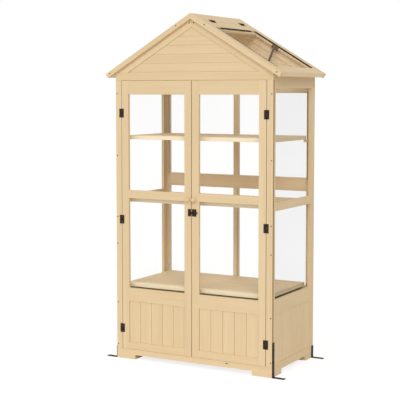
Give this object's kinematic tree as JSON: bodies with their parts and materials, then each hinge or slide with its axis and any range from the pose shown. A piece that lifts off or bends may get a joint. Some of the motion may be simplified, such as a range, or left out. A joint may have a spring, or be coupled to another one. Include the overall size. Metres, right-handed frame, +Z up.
{
  "type": "wooden mini greenhouse",
  "caption": "Tall timber cabinet greenhouse with glazed double doors, glazed sides and back, slatted shelves and a gable roof with a propped opening hatch.",
  "frame": {"origin": "on the ground, at the centre of the four ground bracket holes, which is under the middle of the timber frame", "axes": "+X to the right as seen from the front, +Y from the doors to the back, +Z up"},
  "size_m": [1.144, 0.6183, 1.9826],
  "materials": {
    "fir_timber": "planed, unvarnished",
    "clear_sheet": "clear",
    "black_steel": "black powder coat",
    "zinc_steel": "zinc plated",
    "black_rubber": "matte"
  },
  "bodies": {
    "frame": {"front_posts": "fir_timber", "door_stops": "fir_timber", "front_skirt": "fir_timber", "back_skirt": "fir_timber", "left_side_stiles": "fir_timber", "left_side_rails": "fir_timber", "left_side_panel": "fir_timber", "left_side_skirt": "fir_timber", "right_side_stiles": "fir_timber", "right_side_rails": "fir_timber", "right_side_panel": "fir_timber", "right_side_skirt": "fir_timber", "back_stiles": "fir_timber", "back_mullions": "fir_timber", "back_rails": "fir_timber", "back_panel": "fir_timber", "front_gable_frame": "fir_timber", "back_gable_frame": "fir_timber", "front_gable_boards": "fir_timber", "back_gable_boards": "fir_timber", "bargeboards": "fir_timber", "rear_roof_packers": "fir_timber", "left_roof_boards": "fir_timber", "ridge_board": "fir_timber", "upper_shelf_boards": "fir_timber", "middle_shelf_boards": "fir_timber", "deck_boards": "fir_timber", "shelf_blocks": "fir_timber", "deck_cleats": "fir_timber", "left_side_panes": "clear_sheet", "right_side_panes": "clear_sheet", "back_panes": "clear_sheet", "fixed_hinge_leaves": "black_steel", "ground_brackets": "black_steel", "stay_foot_plate": "black_steel", "hinge_pins": "zinc_steel", "frame_screws": "zinc_steel"},
    "left_door": {"left_door_stiles": "fir_timber", "left_door_rails": "fir_timber", "left_door_panel": "fir_timber", "left_door_panes": "clear_sheet", "left_door_knob": "fir_timber", "left_door_hinge_leaves": "black_steel", "latch_keeper": "black_steel"},
    "right_door": {"right_door_stiles": "fir_timber", "right_door_rails": "fir_timber", "right_door_panel": "fir_timber", "right_door_panes": "clear_sheet", "right_door_knob": "fir_timber", "right_door_hinge_leaves": "black_steel", "latch_plate": "black_steel"},
    "latch_bolt": {"latch_bolt": "black_steel"},
    "hatch": {"hatch_rails": "fir_timber", "hatch_stiles": "fir_timber", "hatch_pane": "clear_sheet", "hatch_seals": "black_rubber", "hatch_hinge_leaves": "black_steel", "stay_hatch_plate": "black_steel"},
    "stay_tube": {"stay_tube": "black_steel"},
    "stay_rod": {"stay_rod": "zinc_steel"}
  },
  "joints": [
    {"name": "left_door_hinge", "type": "hinge", "parent": "frame", "child": "left_door", "pos_m": [-0.461, -0.2835, 0.816], "axis": [0, 0, -1], "range_deg": [0, 170]},
    {"name": "right_door_hinge", "type": "hinge", "parent": "frame", "child": "right_door", "pos_m": [0.461, -0.2835, 0.816], "axis": [0, 0, 1], "range_deg": [0, 170]},
    {"name": "latch_bolt_slide", "type": "slide", "parent": "right_door", "child": "latch_bolt", "axis": [-1, 0, 0], "range_m": [0, 0.013]},
    {"name": "hatch_hinge", "type": "hinge", "parent": "frame", "child": "hatch", "pos_m": [0.07143, 0.02, 1.94429], "axis": [0, -1, 0], "range_deg": [0, 20]},
    {"name": "stay_tube_pivot", "type": "hinge", "parent": "hatch", "child": "stay_tube", "pos_m": [0.26048, 0.231, 1.80239], "axis": [0, -1, 0], "range_deg": [-21.88, 0]},
    {"name": "stay_rod_slide", "type": "slide", "parent": "stay_tube", "child": "stay_rod", "axis": [-0.3992, 0, -0.9168], "range_m": [0, 0.08192]}
  ],
  "couplings": [
    {"joint": "stay_tube_pivot", "follows": "hatch_hinge", "ratio": -1.0913},
    {"joint": "stay_rod_slide", "follows": "hatch_hinge", "m_per_rad": 0.2344}
  ]
}
